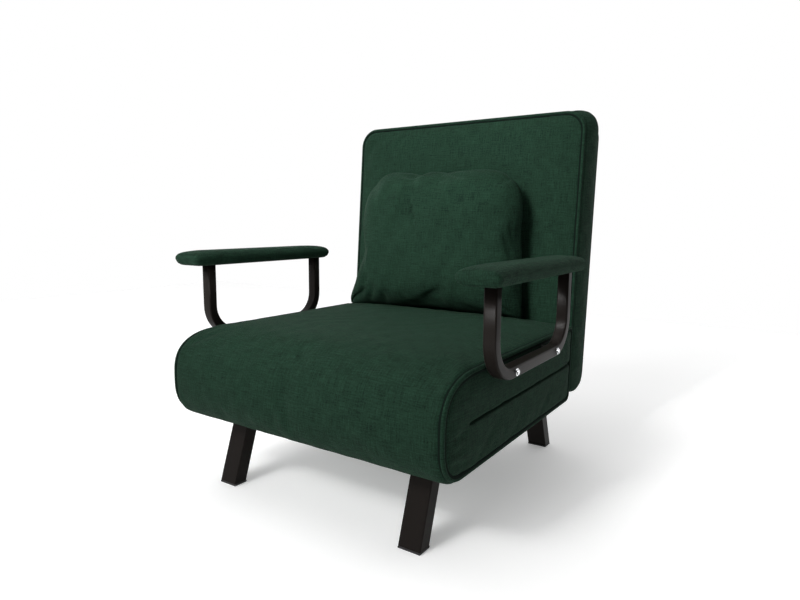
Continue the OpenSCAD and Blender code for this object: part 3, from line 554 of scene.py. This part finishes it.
# Backrest: its own frame has the hinge axis as origin, x across, y to the rear and z up
joints = {joint["name"]: joint for joint in frame["record"]["behaviour"]["joints"]}
back = {"half": 0.3145, "low": -0.055, "high": 0.5925, "depth": 0.0565, "edge": 0.012, "corner": 0.048,
        "foot": 0.014, "lowRadius": 0.045, "crown": 0.007, "shift": 0.0015, "gusset": 0.004,
        "topGusset": 0.012, "pipingFront": 0.0515, "pipingRear": 0.0545, "pipingRadius": 0.0042,
        "lean": math.radians(4.3), "hinge": joints["back_recline"]["pos_m"],
        "room": ((0.224, -0.11, -0.09), (0.256, 0.11, 0.028))}
cosLean, sinLean = math.cos(back["lean"]), math.sin(back["lean"])


def fromBack(local):
    return np.stack([local[:, 0], back["hinge"][1] + local[:, 1] * cosLean + local[:, 2] * sinLean,
                     back["hinge"][2] - local[:, 1] * sinLean + local[:, 2] * cosLean], 1)


def toBack(points):
    y, z = points[:, 1] - back["hinge"][1], points[:, 2] - back["hinge"][2]
    return np.stack([points[:, 0], y * cosLean - z * sinLean, y * sinLean + z * cosLean], 1)


# The same turn for directions
def leanOver(way):
    y, z = way[:, 1], way[:, 2]
    return np.stack([way[:, 0], y * cosLean + z * sinLean, z * cosLean - y * sinLean], 1)


# Lower edges seen from the side: half depth falls by r (1 - sqrt(1 - d^2)) below low + r
def backTaper(local):
    below = np.clip((back["low"] + back["lowRadius"] - local[:, 2]) / back["lowRadius"], 0, 0.995)
    local[:, 1] *= 1 - back["lowRadius"] / back["depth"] * (1 - np.sqrt(1 - below ** 2))
    return local


def backOutline(inset=0.0):
    side, low, high = back["half"] - inset, back["low"] + inset, back["high"] - inset
    radii = (back["foot"], back["foot"], back["corner"] - inset, back["corner"] - inset)
    return resample(roundedRect((-side, low), (side, high), radii), outlineStep)


# The gusset stands out a little all round, and more at the top corners
outline = backOutline()
normals = outward(outline)
diagonal = np.abs(2 * normals[:, 0] * normals[:, 1]) * (outline[:, 1] > 0.3)
stuffed = back["gusset"] + back["topGusset"] * diagonal
points, faces = slab(outline, back["depth"], back["edge"], (back["crown"], 0.002), stuffed)
points = fromBack(backTaper(points[:, [0, 2, 1]]) + (0, back["shift"], 0))
backCushion = newPiece("backCover", points, faces, "fabric")
remesh(backCushion, cushionVoxel)
# The seams and the part below the hinge stay where they are
local = toBack(readPoints(backCushion.data))
atSeam = (awayFrom(local[:, ::2], backOutline(0.004)) < 0.014) & (np.abs(local[:, 1]) > 0.034)
inflate(backCushion, atSeam | (local[:, 2] < 0.0), 3.0, 0.010, 0.008)
subdivide(backCushion)
outline = backOutline(0.0035)
normals = outward(outline)
for name, way, depth in (("backPipingFront", -1, back["pipingFront"]),
                         ("backPipingRear", 1, back["pipingRear"])):
    flat = np.c_[outline[:, 0], np.full(len(outline), way * depth), outline[:, 1]]
    stand = np.c_[normals[:, 0], np.full(len(outline), way), normals[:, 1]] / math.sqrt(2)
    path = fromBack(backTaper(flat))
    for part in sewPiping(name, backCushion, path, leanOver(stand), back["pipingRadius"], "backrest"):
        cutRoom(part, *back["room"], fromBack)
# Room for the hinges, open to the front, the rear and below
cutRoom(backCushion, *back["room"], fromBack)
weaveUv(backCushion)
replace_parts(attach(backCushion, "backrest"), "back_cushion")
print("back", len(backCushion.data.vertices))

# Pillow: two sheets (u, v) in [-1, 1] sewn at the rim, with the rim drawn in between the corners
pillow = {"centre": (-0.037, 0.1697, 0.5000), "width": 0.496, "height": 0.350, "thick": 0.118,
          "lean": math.radians(-1.7), "cols": 60, "rows": 46, "topRadius": 0.105, "lowRadius": 0.032,
          "frontShare": 0.66, "rearShare": 0.22, "spread": 0.032, "lump": 0.002, "tip": 0.010,
          "seam": 0.002, "seamWidth": 0.0025, "gap": 0.0008}
# Creases of the front: x, z to x, z from the pillow's middle, with width and depth
pillowCreases = [
    (-0.020, 0.060, -0.012, 0.062, 0.045, 0.0150), (-0.030, 0.170, -0.022, 0.090, 0.020, 0.0050),
    (0.050, 0.172, 0.035, 0.110, 0.018, 0.0050), (-0.190, -0.150, -0.150, -0.085, 0.008, 0.0050),
    (-0.170, -0.165, -0.130, -0.115, 0.008, 0.0075), (-0.120, -0.165, -0.095, -0.125, 0.008, 0.0060),
    (-0.040, -0.165, -0.048, -0.110, 0.010, 0.0045), (0.060, -0.165, 0.050, -0.115, 0.009, 0.0050),
    (0.215, -0.020, 0.165, -0.010, 0.009, 0.0035), (0.218, -0.080, 0.170, -0.060, 0.009, 0.0035)]
# Dips in the top edge: place across, width and depth
pillowDips = [(-0.032, 0.018, 0.006), (0.045, 0.016, 0.005)]


def pillowSheet(face):
    u = np.sin(math.pi / 2 * np.linspace(-1, 1, pillow["cols"] + 1))
    v = np.sin(math.pi / 2 * np.linspace(-1, 1, pillow["rows"] + 1))
    v, u = (g.ravel() for g in np.meshgrid(v, u, indexing="ij"))
    # Plumpness ((1 - |u|^4) (1 - |v|^4))^0.5, fuller in front of the seam than behind it
    plump = np.maximum(0, (1 - np.abs(u) ** 4) * (1 - np.abs(v) ** 4)) ** 0.5
    share = pillow["rearShare"] if face > 0 else pillow["frontShare"]
    x, z = u * 0.5 * pillow["width"], v * 0.5 * pillow["height"]
    # Round corners: each point slides along its ray by the ratio of the round rim to the square one
    square = 1 / np.maximum(np.maximum(np.abs(u), np.abs(v)), 1e-9)
    radius = np.where(v > 0, pillow["topRadius"], pillow["lowRadius"])
    inX = np.abs(x * square) - (0.5 * pillow["width"] - radius)
    inZ = np.abs(z * square) - (0.5 * pillow["height"] - radius)
    over = (inX > 0) & (inZ > 0)
    reach = np.hypot(inX, inZ)
    tight = np.where(over, 1 - np.maximum(0, reach - radius) / np.hypot(x * square, z * square), 1)
    blend = np.maximum(np.abs(u), np.abs(v)) ** 3
    x, z = x * (1 + (tight - 1) * blend), z * (1 + (tight - 1) * blend)
    # The lower left corner, as seen from the front, spreads to the side
    x = x * (1 - 0.02 * v) - pillow["spread"] * np.clip(-u, 0, 1) * np.clip(-v, 0, 1) ** 1.5
    return np.stack([x, face * pillow["thick"] * share * plump, z], 1)


cols, rows = pillow["cols"] + 1, pillow["rows"] + 1
sheets = np.vstack([pillowSheet(-1), pillowSheet(1)])
index = np.arange(rows * cols).reshape(rows, cols)
rim = np.r_[index[0, :-1], index[:-1, -1], index[-1, :0:-1], index[:0:-1, 0]]
other = index + rows * cols
other[0], other[-1], other[:, 0], other[:, -1] = index[0], index[-1], index[:, 0], index[:, -1]
faces = [[g[j, i], g[j, i + 1], g[j + 1, i + 1], g[j + 1, i]][::way] for g, way in ((index, 1), (other, -1))
         for j in range(rows - 1) for i in range(cols - 1)]
used = np.unique(np.array(faces))
renumber = np.full(len(sheets), -1)
renumber[used] = np.arange(len(used))
pillowPiece = newPiece("pillowCover", sheets[used], renumber[np.array(faces)], "fabric")
inflate(pillowPiece, np.zeros(len(used), bool), 5.0, 0.030, 0.030)
points = readPoints(pillowPiece.data)
filled = np.array([pillow["width"], pillow["thick"], pillow["height"]])
points = (points - (points.max(0) + points.min(0)) / 2) * (filled / (points.max(0) - points.min(0)))
# The stuffing fills the two top corners: 30 rounds of half way to the mean of the neighbours
ends = np.array([edge.vertices[:] for edge in pillowPiece.data.edges])
count = np.bincount(ends.ravel(), minlength=len(points))[:, None]
corner = np.clip((np.abs(points[:, 0]) - 0.11) / 0.05, 0, 1) * np.clip((points[:, 2] - 0.04) / 0.05, 0, 1)
for _ in range(30):
    total = np.zeros_like(points)
    np.add.at(total, ends[:, 0], points[ends[:, 1]])
    np.add.at(total, ends[:, 1], points[ends[:, 0]])
    points += 0.5 * corner[:, None] * (total / count - points)
writePoints(pillowPiece.data, points)
subdivide(pillowPiece)
points = readPoints(pillowPiece.data)
front = np.clip(-points[:, 1] / 0.03, 0, 1)
points[:, 1] += front * creaseDepth(points[:, 0], points[:, 2], pillowCreases)
# Stuffing: lumps some 110 mm apart
lumps = np.sin(57 * points[:, 0] + 1.5) * np.sin(52 * points[:, 2] + 1.2 * np.sin(40 * points[:, 0]))
points[:, 1] -= front * pillow["lump"] * lumps
atTop = np.clip(points[:, 2] / 0.17, 0, 1) ** 4
for place, width, deep in pillowDips:
    points[:, 2] -= atTop * deep * np.exp(-((points[:, 0] - place) / width) ** 2)
# The tip of the lower left corner stands out to the side and down
corner = np.clip((-0.115 - points[:, 2]) / 0.05, 0, 1) * np.clip((-0.17 - points[:, 0]) / 0.05, 0, 1)
points[:, 0] -= pillow["tip"] * corner
points[:, 2] -= pillow["tip"] * corner
# Seam: a valley along the rim, seam exp(-(away / width)^2)
seam = points[renumber[rim]]
away = np.array([np.hypot.reduce(seam - point, axis=1).min() for point in points])
valley = pillow["seam"] * np.exp(-(away / pillow["seamWidth"]) ** 2)
points -= readNormals(pillowPiece.data) * valley[:, None]
c, s = math.cos(pillow["lean"]), math.sin(pillow["lean"])
y, z = points[:, 1] * c - points[:, 2] * s, points[:, 1] * s + points[:, 2] * c
writePoints(pillowPiece.data, np.stack([points[:, 0], y, z], 1) + np.array(pillow["centre"]))
restAgainst(pillowPiece, backCushion, (0, cosLean, -sinLean), pillow["gap"])
restAgainst(pillowPiece, seatCushion, (0, 0, -1), pillow["gap"])
weaveUv(pillowPiece)
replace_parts(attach(pillowPiece, "pillow"), "pillow")
print("pillow", len(pillowPiece.data.vertices))

# Arm pads: rounded ends in plan, underside narrower than the top, thinner towards both ends and sides
pad = {"centre": (0.3395, -0.10654, 0.4675), "half": (0.0398, 0.2105), "thick": 0.0150, "edge": 0.0095,
       "corner": 0.011, "drawn": 0.005, "endFall": 0.002, "sideFall": 0.007, "low": 0.4521, "high": 0.4835}
for sign, side in ((1, "left"), (-1, "right")):
    low = (-pad["half"][0], -pad["half"][1])
    outline = resample(roundedRect(low, pad["half"], (pad["corner"],) * 4), 0.004)
    points, faces = slab(outline, pad["thick"], pad["edge"], (0.0, 0.002))
    piece = newPiece("armPad" + side.capitalize(), points, faces, "fabric")
    remesh(piece, 0.0045)
    points = readPoints(piece.data)
    # The underside is drawn in by drawn (1 - up / 0.65)^1.2; the top falls by endFall times a square
    # over its last 90 mm, and by sideFall (|x| / half)^3
    up = np.clip((points[:, 2] + pad["thick"]) / (2 * pad["thick"]), 0, 1)
    drawn = pad["drawn"] * np.clip(1 - up / 0.65, 0, 1) ** 1.2
    points[:, 0] *= 1 - drawn / pad["half"][0]
    points[:, 1] *= 1 - drawn / pad["half"][1]
    points[:, 2] -= pad["endFall"] * np.clip((np.abs(points[:, 1]) - 0.12) / 0.09, 0, 1) ** 2 * up
    points[:, 2] -= pad["sideFall"] * np.clip(np.abs(points[:, 0]) / pad["half"][0], 0, 1) ** 3 * up
    writePoints(piece.data, points)
    inflate(piece, points[:, 2] < -0.011, 1.5, 0.008, 0.0015)
    points = readPoints(piece.data) * (sign, 1, 1) + np.array(pad["centre"]) * (sign, 1, 1)
    points[:, 2] = np.clip(points[:, 2], pad["low"], pad["high"])
    writePoints(piece.data, points)
    if sign < 0:
        piece.data.flip_normals()
    weaveUv(piece)
    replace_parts(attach(piece, "seat_base"), "arm_pad_" + side)
print("arm pads")

# Arm brackets: a 23 by 20 mm tube along a U of two uprights and two bends
arm = {"x": 0.3395, "front": -0.25604, "rear": 0.08196, "low": 0.299, "top": 0.452, "bend": 0.062,
       "tube": (0.023, 0.020), "tubeRadius": 0.003}


# Points (y, z, angle) of the bracket's middle line, from the front end round to the rear end
def armPath():
    r, f, e, b = arm["bend"], arm["front"], arm["rear"], arm["low"]
    turn = np.linspace(0, math.pi / 2, 14)
    line = [(f, arm["top"], 0.0)]
    line += [(f + r - r * math.cos(a), b + r - r * math.sin(a), a) for a in turn]
    line += [(e - r + r * math.sin(a), b + r - r * math.cos(a), math.pi / 2 + a) for a in turn]
    line += [(e, arm["top"], math.pi)]
    return np.array(line)


line = armPath()
wide, deep = arm["tube"][0] / 2, arm["tube"][1] / 2
section = roundedRect((-wide, -deep), (wide, deep), (arm["tubeRadius"],) * 4)
section = section[np.r_[True, np.linalg.norm(np.diff(section, axis=0), axis=1) > 1e-6]][::-1]
for sign, side in ((1, "left"), (-1, "right")):
    path = np.c_[np.full(len(line), sign * arm["x"]), line[:, :2]]
    first = np.tile([1.0, 0, 0], (len(line), 1))
    second = np.c_[np.zeros(len(line)), np.cos(line[:, 2]), np.sin(line[:, 2])]
    points, faces = sweep(path, first, second, section, False)
    piece = newPiece("armBracket" + side.capitalize(), points, faces, "enamel")
    for cap in piece.data.polygons[-2:]:
        cap.use_smooth = False
    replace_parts(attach(piece, "seat_base"), "arm_bracket_" + side)

# Legs: a raked rectangular tube, drawn as a sheared box with rounded edges, on its welded plate
legs = {"x": (0.204, 0.249), "tube": (0.003, 0.1415), "plate": (0.1411, 0.145),
        "tubeRadius": 0.0022, "plateRadius": 0.0008,
        "front": {"tube": (-0.27204, -0.24104), "rake": -0.045, "plate": (-0.27204, -0.17504)},
        "rear": {"tube": (0.20996, 0.24096), "rake": 0.054, "plate": (0.14396, 0.24096)}}
for end in ("front", "rear"):
    leg = legs[end]
    for sign, side in ((1, "left"), (-1, "right")):
        for part, kind, rake in (("Leg", "tube", leg["rake"]), ("LegPlate", "plate", 0.0)):
            low, high = zip(legs["x"], leg[kind], legs[kind])
            corners = boxCorners(low, high)
            corners[corners[:, 2] == low[2], 1] += rake
            corners *= (sign, 1, 1)
            piece = newPiece(end + part + side.capitalize(), corners, boxFaces, "enamel", False)
            if sign < 0:
                piece.data.flip_normals()
            bevel = piece.modifiers.new("Bevel", "BEVEL")
            bevel.width = legs[kind + "Radius"]
            bevel.segments = 3
            applyModifiers(piece, False)
            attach(piece, "seat_base")
            if part == "Leg":
                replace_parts(piece, "leg_" + end + "_" + side)
print("metal")

# Plain pale floor, soft studio lights and the photograph's camera
floorCorners = [(-3.6, -6, 0), (6, -6, 0), (6, 2.4, 0), (-3.6, 2.4, 0)]
floor = newPiece("floor", floorCorners, [(0, 1, 2, 3)], "black_plastic", False)
floor.data.materials.clear()
floor.data.materials.append(newMaterial("paleFloor", "#fafafa", Roughness=0.9, Specular_IOR_Level=0.1,
                                        Emission_Color=(1, 1, 1, 1), Emission_Strength=0.27))
scene = bpy.context.scene
world = scene.world or bpy.data.worlds.new("world")
scene.world = world
world.use_nodes = True
# A white studio that darkens from 1 to 0.05 towards the sitter's left and front
tree = world.node_tree
way = addNode(tree, "ShaderNodeTexCoord").outputs["Generated"]
facing = addNode(tree, "ShaderNodeVectorMath", {0: way, 1: (-0.75, 0.66, 0)}, operation="DOT_PRODUCT")
fade = {"Value": facing.outputs["Value"], "From Min": -0.5, "From Max": 0.3, "To Min": 0.05, "To Max": 1.0}
share = addNode(tree, "ShaderNodeMapRange", fade)
tree.links.new(share.outputs[0], tree.nodes["Background"].inputs[1])
tree.nodes["Background"].inputs[0].default_value = (1, 1, 1, 1)


def areaLight(name, place, target, size, watts, spread=180):
    lamp = bpy.data.lights.new(name, "AREA")
    lamp.shape = "SQUARE"
    lamp.size = size
    lamp.energy = watts
    lamp.spread = math.radians(spread)
    piece = bpy.data.objects.new(name, lamp)
    piece.location = place
    piece.rotation_euler = (Vector(target) - Vector(place)).to_track_quat("-Z", "Y").to_euler()
    scene.collection.objects.link(piece)
    return piece


lights = [areaLight("key", (-2.0, -6.4, 4.6), (0, 0, 0.4), 4.4, 312),
          areaLight("top", (-0.4, -0.6, 3.2), (0, 0.1, 0.3), 2.0, 17),
          areaLight("left pad", (1.3, -2.6, 1.45), (-0.33, -0.1, 0.465), 0.2, 0.3, 14),
          areaLight("back", (-0.35, -1.95, 1.75), (0.06, 0.15, 0.60), 0.6, 3.8, 40)]

# Camera fitted to the photograph: place in metres, turns in radians, lens and sensor in millimetres
view = {"place": (0.7324, -1.0993, 0.5505), "yaw": 0.59237, "pitch": -0.13305, "roll": 0.0069,
        "lens": 26.73, "sensor": 36}
level = math.cos(view["pitch"])
forward = Vector((-math.sin(view["yaw"]) * level, math.cos(view["yaw"]) * level, math.sin(view["pitch"])))
right = forward.cross(Vector((0, 0, 1))).normalized()
up = right.cross(forward)
c, s = math.cos(view["roll"]), math.sin(view["roll"])
lens = bpy.data.cameras.new("camera")
lens.lens = view["lens"]
lens.sensor_width = view["sensor"]
camera = bpy.data.objects.new("camera", lens)
turn = Matrix((right * c + up * s, up * c - right * s, -forward)).transposed().to_4x4()
camera.matrix_world = Matrix.Translation(view["place"]) @ turn
scene.collection.objects.link(camera)
scene.camera = camera
scene.render.resolution_x = 800
scene.render.resolution_y = 600
scene.view_settings.view_transform = "Standard"
scene.render.film_transparent = False
